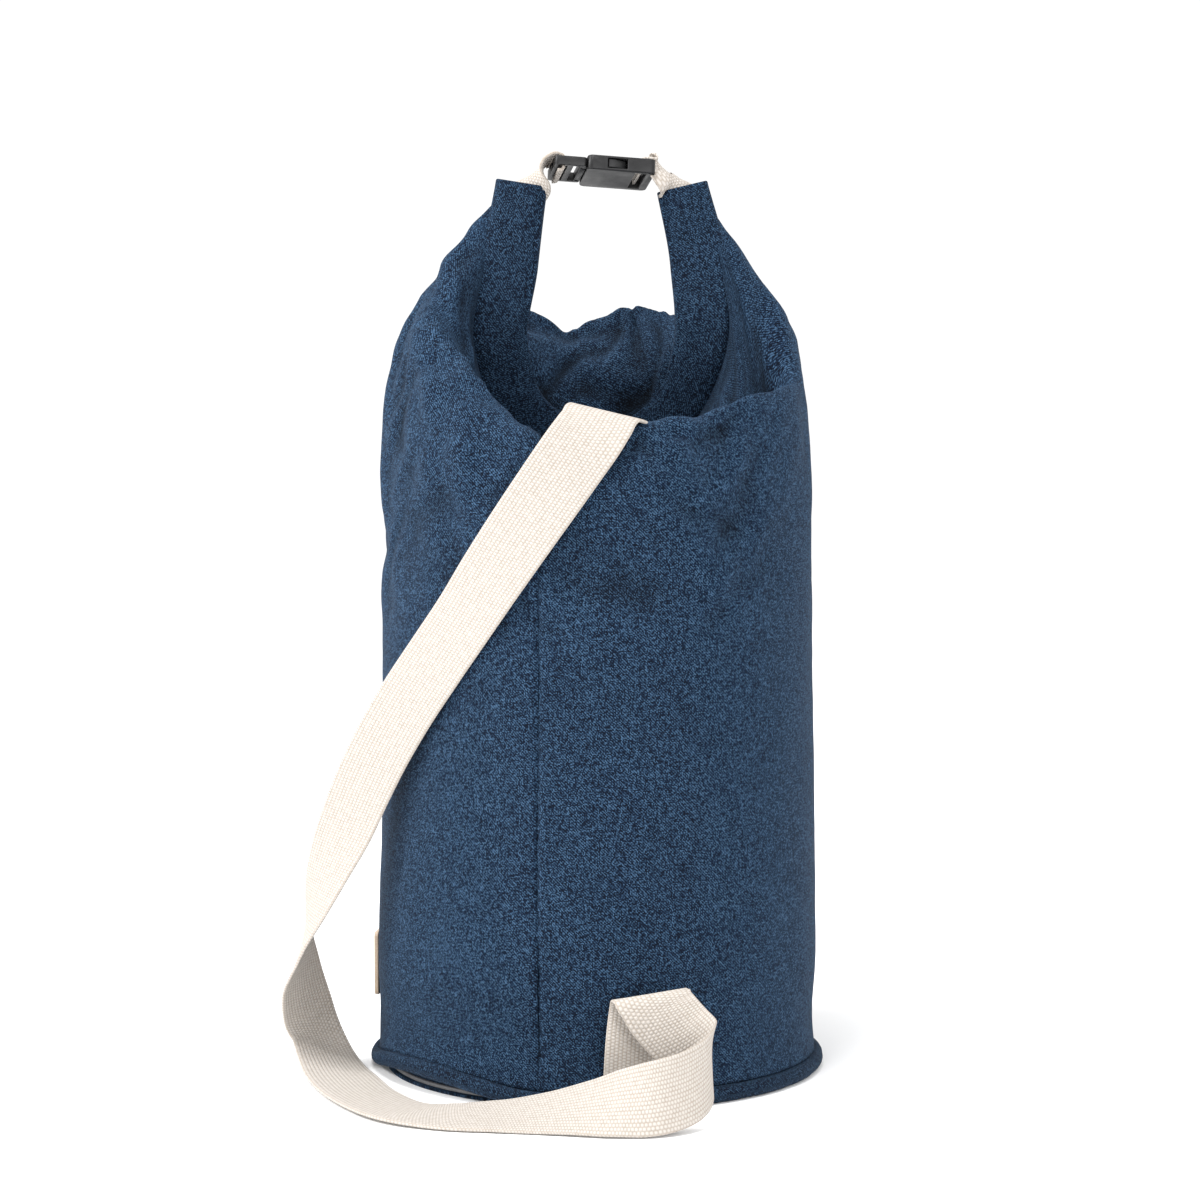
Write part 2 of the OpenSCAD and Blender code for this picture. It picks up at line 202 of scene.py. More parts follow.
def streaks(tree, across, along, stretch_across, stretch_along, detail=2.0):
    """Noise drawn out along a yarn."""
    place = vector(tree, times(tree, across, stretch_across),
                   times(tree, along, stretch_along))
    noise = add_node(tree, "ShaderNodeTexNoise", noise_dimensions="2D")
    set_inputs(noise, {"Scale": 1.0, "Detail": detail})
    link(tree, place, noise.inputs["Vector"])
    return noise.outputs["Fac"]


def ramp(tree, factor, stops):
    node = add_node(tree, "ShaderNodeValToRGB")
    node.color_ramp.elements[0].position = stops[0][0]
    node.color_ramp.elements[1].position = stops[-1][0]
    for position, colour in stops[1:-1]:
        node.color_ramp.elements.new(position)
    for element, (position, colour) in zip(node.color_ramp.elements, stops):
        element.position = position
        element.color = (*colour, 1)
    link(tree, factor, node.inputs["Fac"])
    return node.outputs["Color"]


def bump(tree, shader, height, depth, strength=1.0):
    node = add_node(tree, "ShaderNodeBump")
    set_inputs(node, {"Strength": strength, "Distance": depth})
    link(tree, height, node.inputs["Height"])
    link(tree, node.outputs["Normal"], shader.inputs["Normal"])


def object_texture(tree, kind, scale, **values):
    """Texture that reads the object's own coordinates."""
    node = add_node(tree, kind, **values)
    node.inputs["Scale"].default_value = scale
    link(tree, add_node(tree, "ShaderNodeTexCoord").outputs["Object"], node.inputs["Vector"])
    return node


def melange_fabric(name, tone=1.0, pitch=0.0006):
    """Plain weave of yarns that change between dark and light blue along their length, with painted shade
    that darkens the colour in the fabric's folds.
    """
    slub_share, twill_share, speck_share, cloud_share = 0.42, 0.1, 0.44, 0.04
    twill_turn = 2.3
    fold_shade = 0.75
    material, tree, shader = node_material(name)
    across, along = weave_axes(tree, pitch, pitch)
    warp = streaks(tree, across, along, 0.9, 0.07)
    weft = streaks(tree, across, along, 0.07, 0.9)
    checker = add_node(tree, "ShaderNodeTexChecker")
    link(tree, vector(tree, across, along), checker.inputs["Vector"])
    checker.inputs["Scale"].default_value = 1.0
    over = checker.outputs["Fac"]
    under = maths(tree, "SUBTRACT", 1.0, over)
    yarn = plus(tree, times(tree, warp, over), times(tree, weft, under))
    yarn = plus(tree, times(tree, yarn, slub_share), (1 - slub_share) / 2)
    twill = maths(tree, "SINE", times(tree, plus(tree, across, along), twill_turn))
    yarn = plus(tree, yarn, times(tree, twill, twill_share))
    speck = add_node(tree, "ShaderNodeTexWhiteNoise", noise_dimensions="2D")
    cell = vector(tree, maths(tree, "FLOOR", across), maths(tree, "FLOOR", along))
    link(tree, cell, speck.inputs["Vector"])
    cloudy = streaks(tree, across, along, 0.02, 0.02)
    for source, share in ((speck.outputs["Value"], speck_share), (cloudy, cloud_share)):
        yarn = plus(tree, yarn, times(tree, maths(tree, "SUBTRACT", source, 0.5), share))
    dark, middle, light = (0.0005, 0.0020, 0.0060), (0.0030, 0.0100, 0.0255), (0.038, 0.080, 0.140)
    colour = ramp(tree, yarn, [(0.33, np.multiply(dark, tone)), (0.52, np.multiply(middle, tone)),
                               (0.78, np.multiply(light, tone))])
    # Painted shade: the fold depth stored on the mesh darkens the colour, by up to fold_shade at the bottom
    # of a fold.
    painted_fold_shade = add_node(tree, "ShaderNodeAttribute", attribute_name="painted_fold_shade")
    shade = add_node(tree, "ShaderNodeHueSaturation")
    dimmed = maths(tree, "SUBTRACT", 1.0, times(tree, painted_fold_shade.outputs["Fac"], fold_shade))
    link(tree, dimmed, shade.inputs["Value"])
    link(tree, colour, shade.inputs["Color"])
    link(tree, shade.outputs["Color"], shader.inputs["Base Color"])
    set_inputs(shader, {"Roughness": 0.82, "Specular IOR Level": 0.1, "Sheen Weight": 0.05,
                        "Sheen Tint": (0.35, 0.6, 1.0, 1), "Sheen Roughness": 0.5})
    yarn_tops = times(tree, crown(tree, across), crown(tree, along))
    height = plus(tree, yarn_tops, times(tree, yarn, 0.8))
    bump(tree, shader, height, 0.00018, 0.6)
    return material


def webbing_weave(name, colour, shade, pitch_across=0.0022, pitch_along=0.0017):
    """Heavy cotton webbing: rounded picks in columns that are staggered by half a pick, with painted shade
    in the grooves between the picks.
    """
    material, tree, shader = node_material(name)
    across, along = weave_axes(tree, pitch_across, pitch_along)
    column = maths(tree, "FLOOR", across)
    stagger = times(tree, maths(tree, "MODULO", maths(tree, "ABSOLUTE", column), 2.0), 0.5)
    shifted = plus(tree, along, stagger)
    pick = times(tree, crown(tree, across), crown(tree, shifted))
    uneven = streaks(tree, across, along, 0.6, 0.6)
    # Painted shade: the colour falls to shade in the grooves between the picks, where pick is low; uneven
    # adds random tone.
    tint = plus(tree, times(tree, pick, 0.75), times(tree, uneven, 0.4))
    tone = ramp(tree, tint, [(0.18, shade), (0.66, colour), (1.0, np.minimum(1, np.multiply(colour, 1.1)))])
    link(tree, tone, shader.inputs["Base Color"])
    set_inputs(shader, {"Roughness": 0.9, "Specular IOR Level": 0.15, "Sheen Weight": 0.08})
    bump(tree, shader, pick, 0.00045, 0.7)
    return material


def thread_twist(name, colour):
    material, tree, shader = node_material(name)
    wave = object_texture(tree, "ShaderNodeTexWave", 900, bands_direction="DIAGONAL")
    wave.inputs["Distortion"].default_value = 1.5
    tone = ramp(tree, wave.outputs["Fac"], [(0.0, np.multiply(colour, 0.72)), (1.0, colour)])
    link(tree, tone, shader.inputs["Base Color"])
    shader.inputs["Roughness"].default_value = 0.7
    bump(tree, shader, wave.outputs["Fac"], 0.0001, 0.6)
    return material


def moulded_plastic(name):
    """Black moulded plastic: a fine grain, slightly polished where it is handled."""
    material, tree, shader = node_material(name)
    grain = object_texture(tree, "ShaderNodeTexNoise", 2600)
    grain.inputs["Detail"].default_value = 3
    wear = object_texture(tree, "ShaderNodeTexNoise", 160)
    black, rubbed = (0.006, 0.006, 0.0065), (0.011, 0.011, 0.012)
    link(tree, ramp(tree, wear.outputs["Fac"], [(0.3, black), (0.7, rubbed)]), shader.inputs["Base Color"])
    rough = plus(tree, times(tree, wear.outputs["Fac"], 0.22), 0.34)
    link(tree, rough, shader.inputs["Roughness"])
    shader.inputs["Specular IOR Level"].default_value = 0.32
    bump(tree, shader, grain.outputs["Fac"], 0.00006, 0.5)
    return material


def grained(name, colour, shade, scale, depth, roughness):
    """Leather or board: pores and soft patches over one colour."""
    material, tree, shader = node_material(name)
    pores = object_texture(tree, "ShaderNodeTexVoronoi", scale)
    patches = object_texture(tree, "ShaderNodeTexNoise", scale * 0.12)
    patches.inputs["Detail"].default_value = 4
    mixed = plus(tree, times(tree, pores.outputs["Distance"], 0.4),
                  times(tree, patches.outputs["Fac"], 0.7))
    link(tree, ramp(tree, mixed, [(0.2, shade), (0.75, colour)]), shader.inputs["Base Color"])
    shader.inputs["Roughness"].default_value = roughness
    bump(tree, shader, pores.outputs["Distance"], depth, 0.5)
    return material


# CREAM_SHADE is the painted shade in the grooves between the webbing's picks.
CREAM = (0.475, 0.440, 0.405)
CREAM_SHADE = (0.34, 0.295, 0.25)
body_cloth = melange_fabric("body_fabric")
base_cloth = melange_fabric("base_fabric", 0.8)
lining_cloth = melange_fabric("lining_fabric", 0.65, 0.0005)
webbing_cloth = webbing_weave("webbing", CREAM, CREAM_SHADE)
cotton_cord = webbing_weave("cotton", CREAM, CREAM_SHADE, 0.0009, 0.0018)
sewing_thread = thread_twist("thread", (0.62, 0.56, 0.47))
buckle_plastic = moulded_plastic("buckle_plastic")
board_grey = grained("board", (0.18, 0.18, 0.185), (0.11, 0.11, 0.115), 900, 0.0001, 0.8)
label_leather = grained("leather", (0.66, 0.53, 0.40), (0.47, 0.35, 0.25), 1100, 0.00012, 0.55)

# ---------------- curves


def unit(v):
    v = np.asarray(v, float)
    return v / np.linalg.norm(v, axis=-1, keepdims=True)


def smooth(f):
    g = np.clip(f, 0, 1)
    return g * g * (3 - 2 * g)


def bump_at(value, centre, width):
    """1 at centre, falling smoothly to 0 at a distance of width."""
    return smooth(1 - np.abs(value - centre) / width)


def on_points(points, u):
    """Catmull-Rom through the points at positions u, counted in points."""
    points = np.asarray(points, float)
    u = np.atleast_1d(np.asarray(u, float))
    n = len(points)
    i = np.clip(np.floor(u).astype(int), 0, n - 2)
    f = (u - i)[:, None]
    a, b = points[np.maximum(i - 1, 0)], points[i]
    c, d = points[i + 1], points[np.minimum(i + 2, n - 1)]
    return 0.5 * (2 * b + (c - a) * f + (2 * a - 5 * b + 4 * c - d) * f**2
                  + (3 * b - a - 3 * c + d) * f**3)


ROLL = MM * np.array([
    [-42, 0, 490], [-49, -1, 447], [-56, 1, 404], [-41, 14, 362], [2, 23, 340],
    [43, 14, 362], [60, 1, 404], [57, -1, 447], [47.5, 0, 488]])


def roll_centre(u):
    return on_points(ROLL, u)


def roll_spread(u):
    """Height of the flattened roll at u: it opens a little below its ends."""
    return roll_w + 0.005 * bump_at(np.minimum(u, 8 - u), 1.7, 1.7)


def roll_out(u):
    u = np.atleast_1d(u)
    way = unit(roll_centre(np.minimum(8, u + 0.05)) - roll_centre(np.maximum(0, u - 0.05)))
    return unit(np.stack([way[:, 2], 0 * u, -way[:, 0]], 1))


def path_length(points):
    """Distance along the points from the first, down each column where they form a grid."""
    step = np.linalg.norm(np.diff(points, axis=0), axis=-1)
    return np.concatenate([np.zeros_like(step[:1]), np.cumsum(step, 0)])


def half_turn(az):
    """Azimuths brought between -180 and 180 degrees."""
    return (np.asarray(az, float) + 180) % 360 - 180


def outwards(az):
    """Level directions away from the bag's axis at azimuths in degrees."""
    rad = np.radians(az)
    return np.stack([np.sin(rad), -np.cos(rad), 0 * rad], -1)


def uv_grid(across, along, shape):
    """UVs of a grid from the places across and along the cloth, in metres."""
    return np.stack([np.broadcast_to(across, shape), np.broadcast_to(along, shape)], 2).reshape(-1, 2)


# ---------------- the bag's fabric surface


def wall_radius(z):
    return base_wall_r + (top_wall_r - base_wall_r) * z / shoulder_z


def roll_foot(az):
    side = half_turn(az)
    flat = np.where(np.abs(side) <= 90, side, np.sign(side) * (180 - np.abs(side)))
    u = 4 + 4 * roll_stop * flat / 90
    c = np.cos(np.radians(az))
    depth = -0.0036 * c / np.sqrt(c * c + 0.015)
    foot = roll_centre(u) + roll_out(u) * (roll_spread(u)[:, None] / 2 - 0.0045)
    foot[:, 1] += depth
    return foot


# Outline of the folded top by azimuth, in degrees and mm: where the wall starts to lean in,
# the radius and height of the lip, how far the fabric behind the lip stands above its chord, and
# where on the chord it does so, in thousandths
TOP_AZ = [-180, -165, -155, -130, -110, -90, -65, -42, -25, -12, 0,
          20, 45, 70, 82, 90, 110, 130, 150, 165, 180]
LEAN_Z = [350, 350, 350, 350, 350, 352, 342, 335, 325, 325, 338,
          345, 350, 354, 356, 352, 350, 350, 350, 350, 350]
LIP_R = [82, 80, 84, 92, 100, 105, 95, 93, 103, 108, 109,
         110, 111, 113, 113, 107, 102, 95, 85, 80, 82]
LIP_Z = [420, 410, 424, 422, 422, 426, 421, 393, 366, 351, 359,
         370, 378, 381, 383, 416, 420, 422, 420, 424, 420]
CHORD_RISE = [2, -4, 6, 8, 8, 6, -24, -32, -18, -8, -4,
              -18, -44, -44, -26, 5, 8, 8, 4, 4, 2]
BEHIND_AT = [450, 450, 450, 450, 450, 450, 380, 340, 380, 450, 450,
             380, 300, 300, 340, 450, 450, 450, 450, 450, 450]


def by_azimuth(az, values):
    """Values at TOP_AZ, joined smoothly round the bag."""
    turned = half_turn(az)
    around = np.concatenate([np.array(TOP_AZ[:-1]) - 360, TOP_AZ[:-1], np.array(TOP_AZ[:-1]) + 360])
    many = np.tile(values[:-1], 3)
    spread = np.linspace(-4.5, 4.5, 7)
    return MM * np.mean([np.interp(turned + d, around, many) for d in spread], 0)


def fabric_loft(az, path):
    """Points of the fabric at azimuths az (n) and shares of each column's path (m) -> (m, n, 3)."""
    az = np.asarray(az, float)
    rad = np.radians(az)
    below_lean = 0.05

    def ring(radius, z):
        return np.column_stack([outwards(az)[:, :2] * radius[:, None], z])

    lean_z, lip_r, lip_z = (by_azimuth(az, v) for v in (LEAN_Z, LIP_R, LIP_Z))
    wall_r = wall_radius(lean_z)
    foot = roll_foot(az)
    lip = ring(lip_r, lip_z)
    behind = lip + (foot - lip) * by_azimuth(az, BEHIND_AT)[:, None]
    behind[:, 2] += by_azimuth(az, CHORD_RISE)
    near_foot = lip + (foot - lip) * 0.82
    near_foot[:, 2] += 0.35 * by_azimuth(az, CHORD_RISE)
    turn_in = lip + unit(behind - lip) * 0.007
    turn_in[:, 2] += 0.0015
    knots = np.stack([
        ring(wall_radius(lean_z - below_lean), lean_z - below_lean), ring(wall_r, lean_z),
        ring(wall_r + (lip_r - wall_r) * 0.32, lean_z + (lip_z - lean_z) * 0.7), lip, turn_in,
        behind, near_foot, foot])
    curve = np.stack([on_points(knots[:, j], np.linspace(0, 7, 176)) for j in range(len(az))], 1)
    along = path_length(curve)
    wall_length = lean_z - below_lean - wall_foot_z
    total = wall_length + along[-1]
    out = np.zeros((len(path), len(az), 3))
    for j in range(len(az)):
        s = np.asarray(path) * total[j]
        on_wall = s <= wall_length[j]
        z = wall_foot_z + s
        r = wall_radius(z)
        wall = np.stack([r * np.sin(rad[j]), -r * np.cos(rad[j]), z], 1)
        over = np.stack([np.interp(s - wall_length[j], along[:, j], curve[:, j, k])
                         for k in range(3)], 1)
        out[:, j] = np.where(on_wall[:, None], wall, over)
    return out, total


# ---------------- mesh helpers


def mesh_object(name, points, faces, uvs=None, material=None):
    mesh = bpy.data.meshes.new(name)
    mesh.from_pydata([tuple(p) for p in points], [], [tuple(f) for f in faces])
    if uvs is not None:
        layer = mesh.uv_layers.new(name="weave")
        loops = np.zeros(len(mesh.loops), int)
        mesh.loops.foreach_get("vertex_index", loops)
        layer.data.foreach_set("uv", np.asarray(uvs, float)[loops].ravel())
    mesh.polygons.foreach_set("use_smooth", [True] * len(mesh.polygons))
    if material:
        mesh.materials.append(material)
    mesh.update()
    obj = bpy.data.objects.new(name, mesh)
    bpy.context.scene.collection.objects.link(obj)
    return obj


def grid_faces(rows, cols, wrap=False, start=0):
    last = cols if wrap else cols - 1
    return [(start + r * cols + c, start + r * cols + (c + 1) % cols,
             start + (r + 1) * cols + (c + 1) % cols, start + (r + 1) * cols + c)
            for r in range(rows - 1) for c in range(last)]


def torus_faces(rows, cols, start=0, flip=False):
    """Faces of a grid that is closed both ways."""
    faces = grid_faces(rows, cols, True, start)
    last = start + (rows - 1) * cols
    faces += [(last + k, last + (k + 1) % cols, start + (k + 1) % cols, start + k)
              for k in range(cols)]
    return [face[::-1] for face in faces] if flip else faces


def grid_normals(grid):
    """Outward normals of a grid of points whose rows go up and whose columns go round to the right."""
    along = np.gradient(grid, axis=0)
    across = np.gradient(grid, axis=1)
    return unit(np.cross(across, along) + 1e-12)


def two_sided(name, outer, thickness, uvs, material, wrap=False):
    """Cloth of the given thickness: an outer grid, the same grid moved inwards, and the rim between."""
    rows, cols = outer.shape[:2]
    inner = outer - grid_normals(outer) * thickness
    count = rows * cols
    faces = grid_faces(rows, cols, wrap)
    faces += [tuple(count + i for i in reversed(f)) for f in grid_faces(rows, cols, wrap)]
    low = list(range(cols))
    high = [count - cols + c for c in range(cols)]
    if wrap:
        for c in range(cols):
            d = (c + 1) % cols
            faces.append((low[d], low[c], count + low[c], count + low[d]))
            faces.append((high[c], high[d], count + high[d], count + high[c]))
    else:
        rim = low + [r * cols + cols - 1 for r in range(1, rows)]
        rim += high[-2::-1] + [r * cols for r in range(rows - 2, 0, -1)]
        for a, b in zip(rim, rim[1:] + rim[:1]):
            faces.append((b, a, count + a, count + b))
    points = np.concatenate([outer.reshape(-1, 3), inner.reshape(-1, 3)])
    return mesh_object(name, points, faces, np.concatenate([uvs, uvs]), material)


def loft_rings(name, rings, uvs, material):
    """Skin over closed rings (m, n, 3); each end cap is a plain polygon."""
    m, n = rings.shape[:2]
    faces = grid_faces(m, n, True)
    faces += [tuple(reversed(range(n))), tuple((m - 1) * n + k for k in range(n))]
    return mesh_object(name, rings.reshape(-1, 3), faces, uvs, material)


def soft_noise(shape, cells, seed):
    """Smooth random values about 0 on a grid, with the given number of cells up and round."""
    values = np.random.default_rng(seed).normal(size=(cells[0] + 4, cells[1] + 4))

    def weights(f):
        f = f[:, None]
        return np.concatenate([(1 - f)**3, 3 * f**3 - 6 * f**2 + 4,
                               -3 * f**3 + 3 * f**2 + 3 * f + 1, f**3], 1) / 6

    up, across = np.linspace(0, cells[0], shape[0]), np.linspace(0, cells[1], shape[1])
    i, j = up.astype(int), across.astype(int)
    wu, wa = weights(up - i), weights(across - j)
    return sum(wu[:, a][:, None] * wa[:, b][None] * values[np.ix_(i + a, j + b)]
               for a in range(4) for b in range(4))


def softened(name, node, width, material, body, slot, segments=2):
    """Copy of a CAD node with its hard edges rounded, which stands in for it."""
    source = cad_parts[node]
    mesh = source.data.copy()
    work = bmesh.new()
    work.from_mesh(mesh)
    bmesh.ops.remove_doubles(work, verts=work.verts, dist=0.00002)
    bmesh.ops.dissolve_limit(work, angle_limit=math.radians(1.5), verts=work.verts, edges=work.edges)
    work.to_mesh(mesh)
    work.free()
    mesh.materials.clear()
    mesh.materials.append(material)
    mesh.polygons.foreach_set("use_smooth", [True] * len(mesh.polygons))
    obj = bpy.data.objects.new(name, mesh)
    bpy.context.scene.collection.objects.link(obj)
    rounding = obj.modifiers.new("rounding", "BEVEL")
    set_values(rounding, width=width, segments=segments, limit_method="ANGLE",
               angle_limit=math.radians(38), harden_normals=True)
    apply_modifiers(obj)
    stand_in(obj, body, slot, node)


def stand_in(obj, body, slot, *nodes):
    """The piece rides on one body in place of the CAD nodes; slot is not used."""
    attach(obj, body)
    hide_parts(*nodes)


def apply_modifiers(obj):
    graph = bpy.context.evaluated_depsgraph_get()
    graph.update()
    mesh = bpy.data.meshes.new_from_object(obj.evaluated_get(graph))
    obj.modifiers.clear()
    obj.data = mesh


# ---------------- cloth simulation of the bag

columns = 160
rows = 104
fabric_length = 0.515
sim_from = 0.46
azimuths = seam_azimuth + np.arange(columns) * 360 / columns
paths = np.linspace(0, 1, rows)


def simulate_fabric(start, steps):
    """Lets the folded top settle as a tube of its flat size, held at the wall below and at the roll."""
    first = int(sim_from * rows)
    part = start[first:]
    count = len(part)
    rest = np.zeros_like(part)
    rad = np.radians(azimuths)
    for i in range(count):
        z = wall_foot_z + paths[first + i] * fabric_length
        r = wall_radius(min(z, shoulder_z))
        rest[i] = np.stack([r * np.sin(rad), -r * np.cos(rad), np.full(columns, z)], 1)
    obj = mesh_object("fabric_sim", part.reshape(-1, 3), grid_faces(count, columns, True))
    obj.shape_key_add(name="Basis")
    key = obj.shape_key_add(name="flat_tube")
    key.data.foreach_set("co", rest.reshape(-1))
    pins = obj.vertex_groups.new(name="pins")
    hold = np.zeros((count, columns))
    hold[:8] = np.linspace(1, 0, 8)[:, None]
    hold[-2:] = 1
    for index, weight in enumerate(hold.ravel()):
        if weight > 0.01:
            pins.add([index], float(weight), "REPLACE")
    cloth = obj.modifiers.new("cloth", "CLOTH")
    set_values(cloth.settings, rest_shape_key=key, vertex_group_mass="pins", quality=6, mass=0.02,
               tension_stiffness=25, compression_stiffness=25, shear_stiffness=6,
               bending_stiffness=0.6, compression_damping=8, tension_damping=8, air_damping=3,
               pin_stiffness=5, use_pressure=True, uniform_pressure_force=12)
    cloth.settings.effector_weights.gravity = 0.05
    set_values(cloth.collision_settings, use_collision=False, use_self_collision=True,
               self_distance_min=0.003, collision_quality=2)
    set_values(cloth.point_cache, frame_start=1, frame_end=steps)
    scene = bpy.context.scene
    for number in range(1, steps + 1):
        scene.frame_set(number)
    graph = bpy.context.evaluated_depsgraph_get()
    settled = obj.evaluated_get(graph).to_mesh()
    co = np.zeros(len(settled.vertices) * 3)
    settled.vertices.foreach_get("co", co)
    obj.evaluated_get(graph).to_mesh_clear()
    scene.frame_set(1)
    bpy.data.objects.remove(obj)
    moved = start.copy()
    moved[first:] = co.reshape(count, columns, 3)
    return moved


sim_steps = 16
sim_cap = 0.012
fold_share = 0.78
broad_share = 0.88
calm_azimuth, calm_width, calm_share = 68, 42, 0.75
held_rows = 9


def blurred(field, passes):
    """Field averaged with its neighbours, closed round the columns, a number of times."""
    for _ in range(passes):
        field = (np.roll(field, 1, 1) + np.roll(field, -1, 1) + 2 * field) / 4
        padded = np.concatenate([field[:1], field, field[-1:]])
        field = (padded[:-2] + padded[2:] + 2 * field) / 4
    return field


def settled_fabric():
    """The folded top after the simulation. The outline is held: the broad part of each point's
    move is mostly taken out again, and what is left is calmed at the right, held at the roll
    and capped."""
    start, _ = fabric_loft(azimuths, paths)
    step = simulate_fabric(start, sim_steps) - start
    step = blurred(step, 1)
    step = fold_share * (step - broad_share * blurred(step, 40))
    step = step * (1 - calm_share * bump_at(azimuths, calm_azimuth, calm_width))[None, :, None]
    step = step * smooth((rows - 1 - np.arange(rows)) / held_rows)[:, None, None]
    far = np.linalg.norm(step, axis=2, keepdims=True)
    return start + step * np.minimum(1, sim_cap / np.maximum(far, 1e-9))


def sample_rows_cols(grid, up, across):
    """Catmull-Rom values of a grid that is closed round its columns, at fractional rows and columns."""
    n = grid.shape[1]

    def weights(f):
        f = f[:, None]
        return 0.5 * np.concatenate([-f + 2 * f**2 - f**3, 2 - 5 * f**2 + 3 * f**3,
                                     f + 4 * f**2 - 3 * f**3, -f**2 + f**3], 1)

    i = np.clip(np.floor(up).astype(int), 0, len(grid) - 2)
    wu = weights(up - i)
    j = np.floor(across).astype(int)
    wa = weights(across - j)
    rows_in = [np.clip(i + k - 1, 0, len(grid) - 1) for k in range(4)]
    high = sum(grid[rows_in[k]] * wu[:, k][:, None, None] for k in range(4))
    return sum(high[:, (j + k - 1) % n] * wa[:, k][None, :, None] for k in range(4))


# ---------------- body panels

fabric_t = 0.0012
seam_depth = 0.0016
base_lift = 0.0085
lift_from, lift_to = -88.0, -16.0
rows_out = 232
cols_out = 172
settled = settled_fabric()


def painted_fold_shade_of(grid):
    """How deep each point lies in a fold of the fabric: 1 at the bottom of a fold, below 0 on a ridge. It
    is kept on the mesh as painted shade that darkens the fabric in its folds.
    """
    depth = ((blurred(grid, 12) - grid) * grid_normals(grid)).sum(2)
    return np.clip(depth / 0.0022, -0.3, 1)[:, :, None]


# Painted shade for the folds of the fabric, put on the panels and read by its material.
painted_fold_shade = painted_fold_shade_of(settled)


def foot_lift(az):
    """How far the foot of the bag is off the floor at an azimuth, left of the front seam."""
    share = (half_turn(az) - lift_from) / (lift_to - lift_from)
    return base_lift * np.where((share > 0) & (share < 1), np.sin(np.pi * np.clip(share, 0, 1)) ** 1.3, 0)


def panel_shape(first_column):
    """Half of the fabric, from seam to seam, with its pinch above the base, seams and small dents."""
    half = columns / 2
    girth = 2 * np.pi * mean_wall_r
    edge = np.array([0.0, 0.0005, 0.0011, 0.002, 0.0032]) / girth * columns
    middle = np.linspace(edge[-1], half - edge[-1], cols_out)[1:-1]
    across = np.concatenate([edge, middle, half - edge[::-1]])
    up = np.linspace(0, 1, rows_out) * (rows - 1)
    grid = sample_rows_cols(settled, up, first_column + across)
    az = seam_azimuth + (first_column + across) * 360 / columns
    lengths = path_length(grid)
    z = grid[:, :, 2]
    pinch = bump_at(z, 0.03, 0.034)
    grid = grid - outwards(az)[None] * (0.0019 * pinch)[:, :, None]
    share = 1 - smooth(z / 0.06)
    grid[:, :, 2] += foot_lift(az)[None] * share
    normals = grid_normals(grid)
    shape_2d = grid.shape[:2]
    wide = soft_noise(shape_2d, (9, 8), 11 + first_column)
    fine = soft_noise(shape_2d, (46, 30), 12 + first_column)
    finer = soft_noise(shape_2d, (90, 64), 13 + first_column)
    turned = half_turn(az)[None]
    high = smooth((z - 0.25) / 0.1)
    left_lip = bump_at(turned, -38, 34) * bump_at(z, 0.35, 0.09)
    over = smooth((lengths - 0.37) / 0.03)
    swell = 0.0011 * wide + (0.0002 + 0.0002 * high + 0.0003 * over + 0.0018 * left_lip) * fine
    swell += (0.0001 + 0.0002 * over + 0.0004 * left_lip) * finer
    from_edge = np.minimum(across, half - across) / columns * girth
    groove = seam_depth * (1 - smooth(from_edge / 0.003)) ** 1.2
    pucker = 1 + 0.35 * np.sin(lengths / 0.0046 * 2)
    hold = smooth((z - wall_foot_z) / 0.02) * (1 - smooth((lengths - lengths[-1] + 0.012) / 0.01))
    at_rear = np.cos(np.radians(az - seam_azimuth)) < 0
    fade = 1 - 0.85 * at_rear[None] * smooth((lengths - 0.40) / 0.04)
    move = swell * hold - groove[None] * fade * pucker * (0.3 + 0.7 * hold)
    grid = grid + normals * move[:, :, None]
    uvs = uv_grid(np.radians(az) * mean_wall_r, lengths, shape_2d)
    # shade is the painted fold shade at each point of the panel.
    shade = sample_rows_cols(painted_fold_shade, up, first_column + across).ravel()
    return grid, uvs, lengths, shade


def make_panel(name, first_column):
    grid, uvs, lengths, shade = panel_shape(first_column)
    obj = two_sided(name + "_cloth", grid, fabric_t, uvs, body_cloth)
    # The painted fold shade is stored on both sides of the cloth.
    attribute = obj.data.attributes.new("painted_fold_shade", "FLOAT", "POINT")
    attribute.data.foreach_set("value", np.concatenate([shade, shade]))
    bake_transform(obj)
    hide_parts(name, name.replace("panel", "shoulder"))


make_panel("right_panel", 0)
make_panel("left_panel", columns // 2)

# ---------------- lining, seam tapes and base

piping_t = 0.0009
lining_t = 0.0008
lining_z = 0.004
lining_top_z = 0.318


def inside_wall(from_az, to_az, count, depth, low_z, high_z):
    """Grid that follows the wall at a depth behind it, between two heights."""
    az = np.linspace(from_az, to_az, count)
    across = (az - seam_azimuth) / 360 * columns
    grid = sample_rows_cols(settled, np.linspace(0, 1, 120) * 0.75 * (rows - 1), across)
    heights = np.linspace(low_z, high_z, 44)
    out = np.stack([np.stack([np.interp(heights, grid[:, j, 2], grid[:, j, k]) for k in range(2)]
                             + [heights], 1) for j in range(count)], 1)
    return out - outwards(az)[None] * depth, az


def make_lining():
    grid, az = inside_wall(0, 360, 121, 0.0062, lining_z + 0.0012, lining_top_z)
    grid = grid[:, :-1]
    sag = soft_noise(grid.shape[:2], (14, 18), 31)
    grid = grid - unit(grid * [1, 1, 0] + 1e-9) * np.abs(0.0006 * sag)[:, :, None]
    uvs = uv_grid(np.radians(az[:-1]) * 0.116, grid[:, :, 2], grid.shape[:2])
    wall = two_sided("lining_wall_cloth", grid, lining_t, uvs, lining_cloth, True)
    stand_in(wall, "bag", "lining_fabric", "lining_wall")
    floor = round_cloth("lining_base_cloth", 0.1150, lining_z, lining_t, lining_cloth, 0.0003, 41)
    stand_in(floor, "bag", "lining_fabric", "lining_base")


